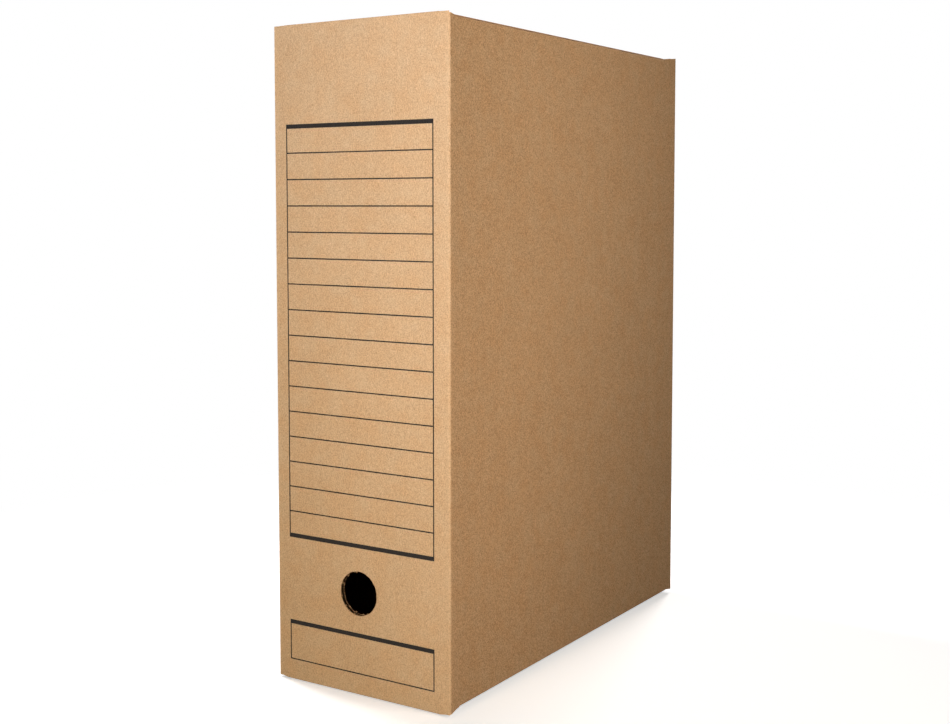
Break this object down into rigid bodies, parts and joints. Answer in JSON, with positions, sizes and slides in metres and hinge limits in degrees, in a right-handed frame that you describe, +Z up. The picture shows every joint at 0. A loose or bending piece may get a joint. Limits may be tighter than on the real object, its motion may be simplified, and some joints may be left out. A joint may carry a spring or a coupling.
{
  "type": "archive box",
  "caption": "Upright corrugated cardboard archive box with a finger hole in its narrow spine and a hinged tuck-in lid over dust flaps.",
  "frame": {"origin": "middle of the face that the box stands on", "axes": "+Z up, +X across the spine, to the right of someone facing it, +Y from the spine to the back"},
  "size_m": [0.118, 0.277, 0.369],
  "materials": {
    "kraft_outer_liner": "matt recycled kraft paper with fine fibre specks",
    "recycled_fluting": "matt recycled fluting paper",
    "recycled_inner_liner": "matt recycled liner paper"
  },
  "bodies": {
    "box": {"spine_outer_liner": "kraft_outer_liner", "spine_fluting": "recycled_fluting", "spine_inner_liner": "recycled_inner_liner", "right_side_outer_liner": "kraft_outer_liner", "right_side_fluting": "recycled_fluting", "right_side_inner_liner": "recycled_inner_liner", "left_side_outer_liner": "kraft_outer_liner", "left_side_fluting": "recycled_fluting", "left_side_inner_liner": "recycled_inner_liner", "back_outer_liner": "kraft_outer_liner", "back_fluting": "recycled_fluting", "back_inner_liner": "recycled_inner_liner", "glue_tab_outer_liner": "kraft_outer_liner", "glue_tab_fluting": "recycled_fluting", "glue_tab_inner_liner": "recycled_inner_liner", "base_outer_liner": "kraft_outer_liner", "base_fluting": "recycled_fluting", "base_inner_liner": "recycled_inner_liner", "base_tuck_outer_liner": "kraft_outer_liner", "base_tuck_fluting": "recycled_fluting", "base_tuck_inner_liner": "recycled_inner_liner", "right_base_flap_outer_liner": "kraft_outer_liner", "right_base_flap_fluting": "recycled_fluting", "right_base_flap_inner_liner": "recycled_inner_liner", "left_base_flap_outer_liner": "kraft_outer_liner", "left_base_flap_fluting": "recycled_fluting", "left_base_flap_inner_liner": "recycled_inner_liner"},
    "lid": {"lid_outer_liner": "kraft_outer_liner", "lid_fluting": "recycled_fluting", "lid_inner_liner": "recycled_inner_liner"},
    "tuck_flap": {"lid_tuck_outer_liner": "kraft_outer_liner", "lid_tuck_fluting": "recycled_fluting", "lid_tuck_inner_liner": "recycled_inner_liner"},
    "right_dust_flap": {"right_dust_flap_outer_liner": "kraft_outer_liner", "right_dust_flap_fluting": "recycled_fluting", "right_dust_flap_inner_liner": "recycled_inner_liner"},
    "left_dust_flap": {"left_dust_flap_outer_liner": "kraft_outer_liner", "left_dust_flap_fluting": "recycled_fluting", "left_dust_flap_inner_liner": "recycled_inner_liner"}
  },
  "joints": [
    {"name": "lid_hinge", "type": "hinge", "parent": "box", "child": "lid", "pos_m": [0, -0.13815, 0.36865], "axis": [1, 0, 0], "range_deg": [0, 175]},
    {"name": "tuck_hinge", "type": "hinge", "parent": "lid", "child": "tuck_flap", "pos_m": [0, 0.13406, 0.3686], "axis": [1, 0, 0], "range_deg": [0, 52.5]},
    {"name": "right_dust_flap_hinge", "type": "hinge", "parent": "box", "child": "right_dust_flap", "pos_m": [0.05857, 0, 0.36649], "axis": [0, 1, 0], "range_deg": [0, 87.5]},
    {"name": "left_dust_flap_hinge", "type": "hinge", "parent": "box", "child": "left_dust_flap", "pos_m": [-0.05857, 0, 0.36649], "axis": [0, -1, 0], "range_deg": [0, 87.5]}
  ],
  "couplings": [
    {"joint": "tuck_hinge", "follows": "lid_hinge", "ratio": 0.3},
    {"joint": "right_dust_flap_hinge", "follows": "lid_hinge", "ratio": 0.5},
    {"joint": "left_dust_flap_hinge", "follows": "lid_hinge", "ratio": 0.5}
  ]
}
